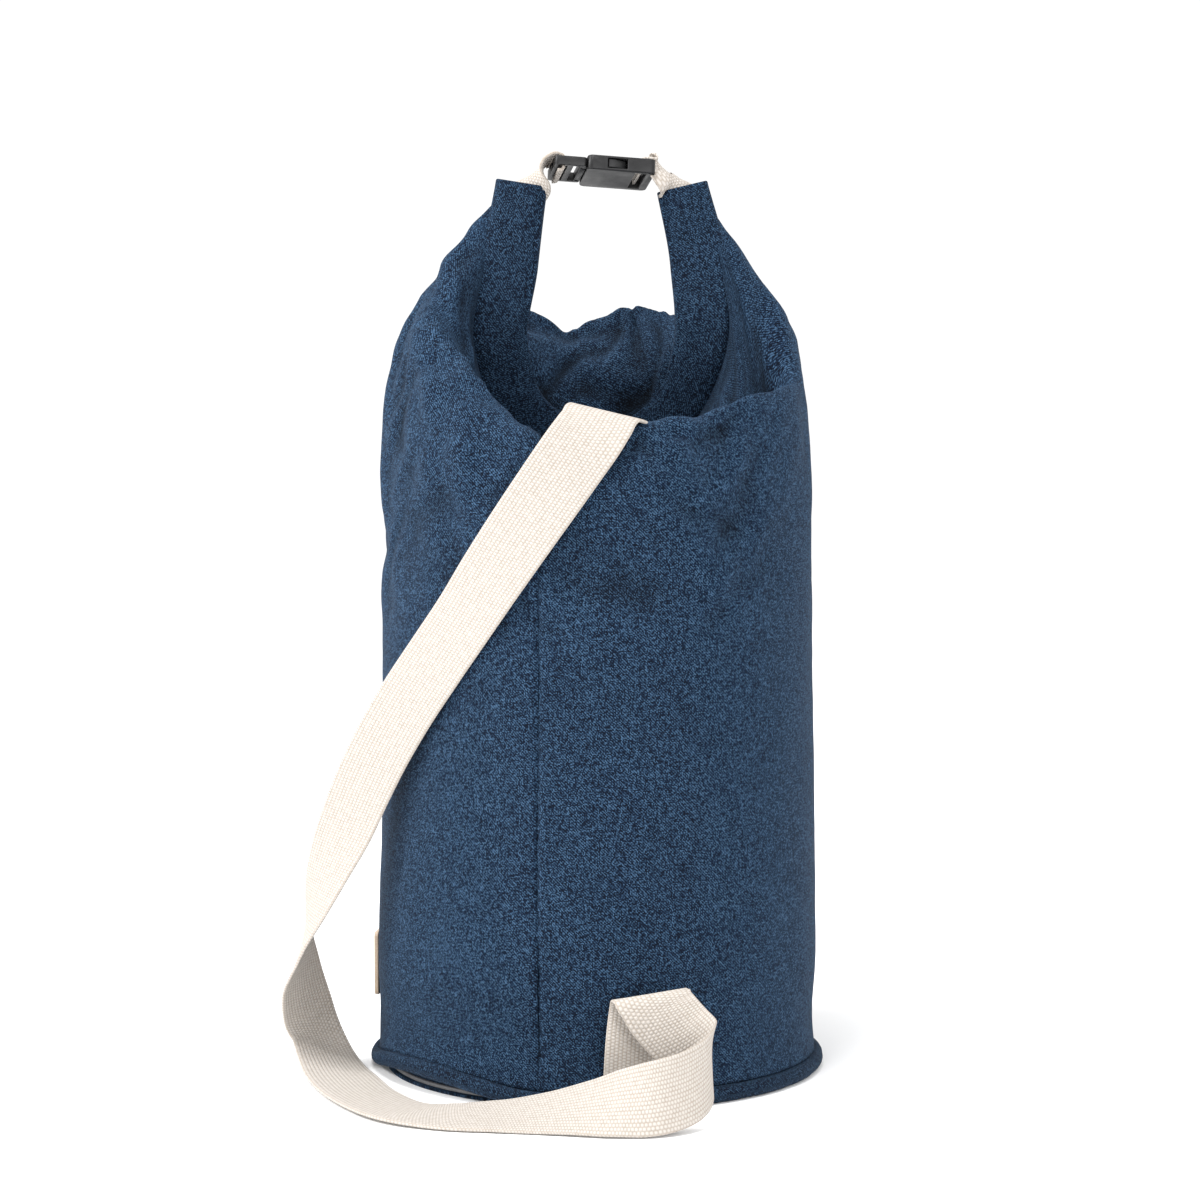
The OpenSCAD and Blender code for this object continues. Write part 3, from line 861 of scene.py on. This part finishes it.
def round_cloth(name, radius, z, thickness, material, wave, seed):
    """Flat round cloth, as rings of points about its centre, with a slight wave."""
    rings, around = 26, 96
    angle = np.arange(around) * 2 * np.pi / around
    reach = np.linspace(0.02, 1, rings) * radius
    grid = np.stack([np.outer(reach, np.sin(angle)), -np.outer(reach, np.cos(angle)),
                     np.full((rings, around), z)], 2)
    wobble = soft_noise((rings, around), (7, 9), seed) * smooth((reach / radius - 0.1) / 0.5)[:, None]
    wobble *= (1 - smooth((reach / radius - 0.9) / 0.1))[:, None] * np.abs(np.sin(angle / 2))[None]
    top = grid + np.stack([0 * wobble, 0 * wobble, wave * np.abs(wobble) + thickness], 2)
    count = rings * around
    faces = [tuple(reversed(f)) for f in grid_faces(rings, around, True)]
    faces += [tuple(count + i for i in f) for f in grid_faces(rings, around, True)]
    faces += [tuple(range(around)), tuple(count + k for k in reversed(range(around)))]
    last = count - around
    faces += [(last + (k + 1) % around, last + k, count + last + k, count + last + (k + 1) % around)
              for k in range(around)]
    points = np.concatenate([grid.reshape(-1, 3), top.reshape(-1, 3)])
    return mesh_object(name, points, faces, points[:, :2], material)


def make_seam_tape(name, az):
    half_width = 2.5
    grid, angles = inside_wall(az - half_width, az + half_width, 7, 0.0034,
                               wall_foot_z + 0.004, lining_top_z - 0.006)
    uvs = uv_grid(np.radians(angles) * mean_wall_r, grid[:, :, 2], grid.shape[:2])
    obj = two_sided(name + "_cloth", grid, lining_t, uvs, lining_cloth)
    stand_in(obj, "bag", "lining_fabric", name)


def piping_centre(angle):
    """Centre of the piping at azimuths in radians, with the stretch that is off the floor."""
    lift = foot_lift(np.degrees(angle))
    return np.stack([piping_ring_r * np.sin(angle), -piping_ring_r * np.cos(angle), piping_r + lift], 1)


def ring_tube(angle, around, radius):
    centre = piping_centre(angle)
    radial = np.stack([np.sin(angle), -np.cos(angle), 0 * angle], 1)
    turn = np.arange(around) * 2 * np.pi / around
    return (centre[:, None] + radius * (np.cos(turn)[None, :, None] * radial[:, None]
                                        + np.sin(turn)[None, :, None] * np.array([0, 0, 1])))


def make_piping():
    """Cloth round a cord, sewn into the base seam, with small tucks where the stitches pull it in."""
    count, around = 360, 18
    angle = np.arange(count) * 2 * np.pi / count
    tuck = piping_r + 0.00012 * np.sin(angle * 190) + 0.0002 * np.sin(angle * 23 + 1)
    outer = ring_tube(angle, around, piping_r)
    centre = piping_centre(angle)[:, None]
    outer = centre + (outer - centre) * (np.minimum(tuck, piping_r) / piping_r)[:, None, None]
    inner = ring_tube(angle, around, piping_r - piping_t)
    faces = torus_faces(count, around, 0, True) + torus_faces(count, around, count * around)
    length = (angle * piping_ring_r)[:, None]
    uvs = uv_grid(np.arange(around) * 0.0015, length, (count, around))
    obj = mesh_object("base_piping_cloth", np.concatenate([outer.reshape(-1, 3), inner.reshape(-1, 3)]),
                      faces, np.concatenate([uvs, uvs]), base_cloth)
    stand_in(obj, "bag", "base_fabric", "base_piping_cover")
    sides = 12
    strand = ring_tube(angle, sides, 0.0026)
    uvs = uv_grid(np.arange(sides) * 0.0013, length, (count, sides))
    cord = mesh_object("base_piping_filler", strand.reshape(-1, 3), torus_faces(count, sides), uvs,
                       cotton_cord)
    stand_in(cord, "bag", "cotton", "base_piping_cord")


def make_base():
    base = round_cloth("base_panel_cloth", 0.1177, 0.0, 0.0015, base_cloth, 0.0001, 51)
    stand_in(base, "bag", "base_fabric", "base_panel")
    softened("base_board_sheet", "base_board", 0.0004, board_grey, "bag", "board")


make_lining()
make_seam_tape("front_seam_tape", seam_azimuth)
make_seam_tape("rear_seam_tape", seam_azimuth + 180)
make_piping()
make_base()

# ---------------- rolled mouth


def roll_way(u):
    """Direction of the roll's line at u."""
    return unit(roll_centre(min(8, u + 0.05))[0] - roll_centre(max(0, u - 0.05))[0])


def roll_ring_at(u, around):
    """Flattened ring round the roll's line."""
    turn = np.arange(around) * 2 * np.pi / around
    c, s = np.cos(turn), np.sin(turn)
    flat, tall = np.sign(c) * np.abs(c) ** 0.62, np.sign(s) * np.abs(s) ** 0.7
    wide = flat * roll_spread(u) / 2
    deep = tall * roll_t / 2
    return roll_centre(u)[0] + np.outer(wide, roll_out(u)[0]) + np.outer(deep, [0, 1, 0])


def make_roll_half(name, from_u, to_u, side, seed):
    """Half of the roll, with its creases, the step where the last turn of cloth ends, and the
    turns of cloth that show at its open end."""
    steps, around = 96, 72
    us = np.linspace(from_u, to_u, steps)
    body = np.stack([roll_ring_at(u, around) for u in us])
    length = path_length(roll_centre(us))
    turn = np.arange(around) * 2 * np.pi / around
    closed = np.concatenate([body, body[:, :1]], 1)
    normals = grid_normals(closed)[:, :-1]
    middle = roll_centre(us)[:, None]
    outward = np.sign((normals * (body - middle)).sum(2, keepdims=True))
    normals = normals * outward
    creases = soft_noise((steps, around), (12, 6), seed) * np.abs(np.sin(turn))[None] ** 0.5
    long_folds = soft_noise((steps, around), (3, 12), seed + 1)
    flap = smooth(np.sin(turn - 0.5 - 0.15 * np.sin(us[:, None] * 2.2)) * 9) * 0.0011
    low_arm = bump_at(np.minimum(us, 8 - us), 2.5, 1.1)[:, None]
    crumple = soft_noise((steps, around), (22, 14), seed + 2)
    swell = 0.00045 * creases + 0.0006 * long_folds + 0.0007 * low_arm * crumple + flap - 0.0002
    body = body + normals * swell[:, :, None]
    end_u = from_u if side < 0 else to_u
    layers = [(0.985, 0.0006), (0.95, 0.0009), (0.90, 0.0004), (0.885, -0.0012), (0.86, -0.0014),
              (0.845, 0.0), (0.80, 0.0004), (0.745, -0.0002), (0.73, -0.0018), (0.70, -0.002),
              (0.685, -0.0006), (0.62, -0.0002)]
    rim = body[0] if side < 0 else body[-1]
    centre = roll_centre(end_u)[0]
    tangent = side * roll_way(end_u)
    caps = []
    for scale, rise in layers:
        deep_scale = 1 - (1 - scale) * roll_w / roll_t * 0.72
        offset = rim - centre
        across = offset @ roll_out(end_u)[0]
        deep = offset[:, 1]
        caps.append(centre + np.outer(across * scale, roll_out(end_u)[0])
                    + np.outer(deep * deep_scale, [0, 1, 0]) + tangent * rise)
    caps = np.stack(caps)
    extra = np.arange(len(layers)) * 0.0012
    if side < 0:
        rings = np.concatenate([caps[::-1], body])
        along = np.concatenate([-extra[::-1] - 0.001, length])
    else:
        rings = np.concatenate([body, caps])
        along = np.concatenate([length, length[-1] + extra])
    girth = path_length(body[steps // 2])
    obj = loft_rings(name, rings, uv_grid(along[:, None], girth, rings.shape[:2]), body_cloth)
    turn_faces_out(obj)
    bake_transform(obj)
    return obj


def turn_faces_out(obj):
    work = bmesh.new()
    work.from_mesh(obj.data)
    bmesh.ops.recalc_face_normals(work, faces=work.faces)
    work.to_mesh(obj.data)
    work.free()


left_half = make_roll_half("left_roll_half", 0.0, 4.0, -1, 61)
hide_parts("left_roll_end", "roll_middle")
right_half = make_roll_half("right_roll_half", 4.0, 8.0, 1, 71)
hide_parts("right_roll_end")

# ---------------- webbing and strap


fold_grip = 0.95
least_lean = 0.96


def ribbon(name, points, looks, width, thickness, per_point, material, curls=None, folds=()):
    """Flat webbing along points; looks is the way its outer face looks, and curls how sharply it
    is cupped across at each point, per metre. folds are (point number, direction of the fold line,
    reach in points) where it folds over at a slant. Returns the piece and its length."""
    points, looks = np.asarray(points, float), np.asarray(looks, float)
    steps = (len(points) - 1) * per_point
    u = np.linspace(0, len(points) - 1, steps + 1)
    line = on_points(points, u)
    way = unit(np.gradient(line, axis=0))
    square = unit(np.cross(on_points(looks, u), way))
    out = np.cross(way, square)
    across = square
    for number, line_way, reach in folds:
        share = fold_grip * bump_at(u, number, reach)[:, None]
        across = unit(across * (1 - share) + unit(line_way) * share)
    across = across / np.maximum(least_lean, (across * square).sum(1, keepdims=True))
    half, edge, flat_count = width / 2, thickness / 2, 12
    lay = np.linspace(-half + edge, half - edge, flat_count)
    round_off = np.radians([30, 60, 90, 120, 150])
    profile = [(x, edge) for x in lay]
    profile += [(half - edge + edge * np.sin(a), edge * np.cos(a)) for a in round_off]
    profile += [(x, -edge) for x in lay[::-1]]
    profile += [(-half + edge - edge * np.sin(a), -edge * np.cos(a)) for a in round_off]
    profile = np.array(profile)
    length = path_length(line)
    curl = np.interp(u, np.arange(len(points)), np.zeros(len(points)) if curls is None else curls)
    curl = np.maximum(curl, 0.01)[:, None]
    angle = profile[None, :, 0] * curl
    reach = 1 / curl + profile[None, :, 1]
    sideways, raised = reach * np.sin(angle), reach * np.cos(angle) - 1 / curl
    rings = (line[:, None] + across[:, None] * sideways[:, :, None] + out[:, None] * raised[:, :, None])
    uvs = uv_grid(profile[:, 0] + half, length[:, None], rings.shape[:2])
    obj = loft_rings(name, rings, uvs, material)
    turn_faces_out(obj)
    return obj, float(length[-1])


def buckle_turn(p):
    """Buckle directions to the bag's, by the buckle's tilt about x, y and z in turn."""
    ax, ay, az = (math.radians(a) for a in buckle_tilt)
    turn = Matrix.Rotation(az, 3, "Z") @ Matrix.Rotation(ay, 3, "Y") @ Matrix.Rotation(ax, 3, "X")
    return np.array(turn @ Vector(p))


def in_buckle(x, y, z):
    return buckle_centre + MM * buckle_turn((x, y, z))


male_end_x, female_end_x, bar_w, slot_l = -28.0, 27.5, 4.5, 6.0


def make_webbing(side, route, curls):
    """Webbing of one side, which bends between its roll end and its buckle half."""
    curls = curls + [0] * (len(route) - len(curls))
    obj, length = ribbon(side + "_webbing_band", [r[0] for r in route], [r[1] for r in route],
                         webbing_w, webbing_t, 8, webbing_cloth, curls)
    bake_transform(obj)
    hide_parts(side + "_webbing")


def make_left_webbing():
    bar, slot = male_end_x + 2.2, male_end_x + 5.4
    route = [(roll_centre(0.5)[0], (0, -1, 0)), (roll_centre(0.3)[0], (0, -1, 0)),
             (MM * np.array([-38.5, 0, 487]), (-0.35, -0.9, 0.1)),
             (MM * np.array([-34.8, -0.5, 492]), (-0.6, -0.7, 0.35)),
             (MM * np.array([-31, -1.5, 497]), (-0.65, -0.35, 0.65)),
             (in_buckle(male_end_x - 2.6, 0, 3.4), buckle_turn((-0.6, 0, 0.8))),
             (in_buckle(bar, 0, 4.5), buckle_turn((0, 0, 1))),
             (in_buckle(slot - 0.8, 0, 3.9), buckle_turn((0.6, 0, 0.8))),
             (in_buckle(slot, 0, 1.6), buckle_turn((1, 0, 0))),
             (in_buckle(slot, 0, -1.6), buckle_turn((1, 0, 0))),
             (in_buckle(slot - 0.8, 0, -3.9), buckle_turn((0.6, 0, -0.8))),
             (in_buckle(bar, 0, -4.5), buckle_turn((0, 0, -1)))]
    make_webbing("left", route, [0, 40, 90, 95, 50])


def make_right_webbing():
    slot = female_end_x - bar_w - slot_l / 2
    route = [(roll_centre(7.5)[0], (0, -1, 0)), (roll_centre(7.7)[0], (0, -1, 0)),
             (MM * np.array([46, 0, 486]), (0.3, -0.9, 0.2)),
             (MM * np.array([42.5, 0, 491]), (0.5, -0.65, 0.5)),
             (MM * np.array([38.5, -0.5, 495.5]), (0.45, -0.3, 0.8)),
             (in_buckle(female_end_x + 4, 0, 6), buckle_turn((0.6, 0, 0.8))),
             (in_buckle(female_end_x - 2.4, 0, 6), buckle_turn((0, 0, 1))),
             (in_buckle(slot + 1.4, 0, 5.4), buckle_turn((-0.6, 0, 0.8))),
             (in_buckle(slot, 0, 3), buckle_turn((-1, 0, 0))),
             (in_buckle(slot, 0, -2), buckle_turn((-1, 0, 0)))]
    make_webbing("right", route, [0, 40, 80, 80, 40])


# Centre of the strap and the direction that its outer face looks in, from the roll to the base
STRAP = [
    ((24, -36, 337), (0.05, 0.45, 0.9)), ((20, -56, 347), (0.1, 0.4, 0.92)),
    ((14.5, -77, 357.5), (0.18, 0.3, 0.94)), ((8.7, -95.5, 365), (0.2, 0.1, 0.97)),
    ((3.6, -107.5, 367.5), (0.18, -0.45, 0.87)), ((-0.5, -114.8, 362), (0.08, -0.85, 0.5)),
    ((-5.6, -118.6, 354.3), (-0.05, -0.99, 0.1)), ((-13, -120, 344), (-0.1, -1, 0)),
    ((-24.5, -119, 327.5), (-0.2, -0.98, 0)), ((-40, -115, 305), (-0.33, -0.94, 0)),
    ((-56, -108, 281), (-0.46, -0.89, 0)), ((-71, -99, 257.5), (-0.57, -0.82, 0)),
    ((-87, -88, 233.5), (-0.58, -0.82, 0)), ((-102, -77, 210.5), (-0.56, -0.83, 0)),
    ((-115, -67, 188), (-0.55, -0.83, 0)), ((-126, -58, 166), (-0.56, -0.83, 0)),
    ((-136, -50, 143), (-0.62, -0.78, 0)), ((-146, -43, 121), (-0.79, -0.62, 0)),
    ((-155, -35, 98), (-0.93, -0.36, 0)), ((-162, -26, 74), (-1, 0.05, 0)),
    ((-165, -14, 50), (-0.86, 0.5, 0)), ((-162, -6, 29), (-0.7, 0.68, -0.2)),
    ((-155, -9, 13), (-0.5, 0.45, -0.7)), ((-147, -28, 4), (-0.2, 0.15, -0.97)),
    ((-138, -60, 2.4), (0, 0, -1)), ((-124, -100, 2.4), (0, 0, -1)),
    ((-103, -136, 3), (0, 0.03, -1)), ((-77, -151, 3.8), (0, 0.12, -1)),
    ((-50, -156, 5.2), (0, 0.2, -0.97)), ((-29, -160, 7.6), (0, 0.34, -0.93)),
    ((-9, -166, 11.5), (0.1, 0.52, -0.85)), ((11, -174, 16), (0.15, 0.75, -0.62)),
    ((30, -178, 19.4), (-0.1, 0.95, -0.3)), ((46.5, -171, 23), (-0.5, 0.86, -0.1)),
    ((56.5, -158.5, 27.5), (-0.85, 0.5, 0)), ((59, -147, 31.5), (-1, 0, 0)),
    ((53.5, -138.8, 36.5), (-0.55, -0.83, 0.05)), ((44, -135.5, 43.5), (-0.12, -0.98, 0.1)),
    ((34.8, -133.8, 53.5), (0, -0.99, 0.12)), ((30.2, -132.6, 60.6), (0, -0.9, 0.4)),
    ((27.8, -130.2, 63), (0, 0, 1)), ((26.6, -127.6, 60.2), (0, 0.92, 0.4)),
    ((25, -126.3, 50), (0, 1, 0.05)), ((23, -125.6, 32), (-0.15, 1, 0)),
    ((22, -125, 12), (-0.15, 1, 0)),
]


def make_strap():
    """The strap turns over at the lip and again just above the base seam."""
    points = [MM * np.array(p) for p, _ in STRAP]
    looks = [unit(np.array(look)) for _, look in STRAP]
    lip_fold = (4.3, (0.978, 0, -0.208), 2.6)
    end_fold = (40.0, (-0.985, 0, -0.174), 2.6)
    obj, length = ribbon("shoulder_strap_band", points, looks, strap_w, strap_t, 8, webbing_cloth,
                         folds=[lip_fold, end_fold])
    stand_in(obj, "bag", "webbing", "shoulder_strap")


def stitch_row(name, stitches, length, radius, body, node):
    """Short threads that dip into the cloth at both ends; a stitch is a middle, a way and a normal."""
    around, steps = 8, 9
    all_points, all_faces = [], []
    for middle, way, normal in stitches:
        way, normal = unit(way), unit(normal)
        side = np.cross(way, normal)
        start = sum(len(p) for p in all_points)
        t = np.linspace(-1, 1, steps)
        line = middle + np.outer(t * length / 2, way) - np.outer(radius * 2.6 * t**4, normal)
        slim = radius * (1 - 0.25 * t**6)
        turn = np.arange(around) * 2 * np.pi / around
        rings = (line[:, None] + slim[:, None, None] * (np.cos(turn)[None, :, None] * normal
                                                        + np.sin(turn)[None, :, None] * side))
        all_points.append(rings.reshape(-1, 3))
        all_faces += grid_faces(steps, around, True, start)
        all_faces += [tuple(start + k for k in reversed(range(around))),
                      tuple(start + (steps - 1) * around + k for k in range(around))]
    obj = mesh_object(name, np.concatenate(all_points), all_faces, None, sewing_thread)
    turn_faces_out(obj)
    stand_in(obj, body, "thread", node)


def make_strap_stitching():
    pitch, columns_in, rows_in = 0.004, 8, 2
    foot = MM * np.array(STRAP[-1][0], float)
    slope = math.atan(0.15)
    way = np.array([math.cos(slope), math.sin(slope), 0])
    normal = np.array([math.sin(slope), -math.cos(slope), 0])
    stitches = [(foot + way * (i - (columns_in - 1) / 2) * pitch + normal * (strap_t / 2 + 0.0001)
                 + np.array([0, 0, 0.003 + row * pitch]), way, normal)
                for row in range(rows_in) for i in range(columns_in)]
    stitch_row("strap_base_threads", stitches, 0.0032, 0.00035, "bag", "strap_base_stitching")


# ---------------- label and buckle

label_w, label_z, label_azimuth, label_t = 0.022, 0.054, -97.0, 0.0024


def make_label():
    softened("side_label_leather", "side_label", 0.0005, label_leather, "bag", "leather", 3)
    out = outwards(label_azimuth)
    side = np.array([-out[1], out[0], 0])
    face = out * (wall_radius(label_z) + 0.0005 + label_t)
    stitches = [(face + side * way * (label_w / 2 - 0.0025) + np.array([0, 0, label_z + (i - 3.5) * 0.004])
                 + out * 0.0001, np.array([0, 0, 1]), out) for way in (-1, 1) for i in range(8)]
    stitch_row("label_threads", stitches, 0.003, 0.0003, "bag", "label_stitching")


def make_buckle():
    for node, body in (("buckle_male", "left_tab"), ("near_prong", "near_prong"),
                       ("far_prong", "far_prong"), ("buckle_female", "right_tab")):
        softened(node + "_moulding", node, 0.0005, buckle_plastic, body, "buckle_plastic")


make_left_webbing()
make_right_webbing()
make_strap()
make_strap_stitching()
make_label()
make_buckle()
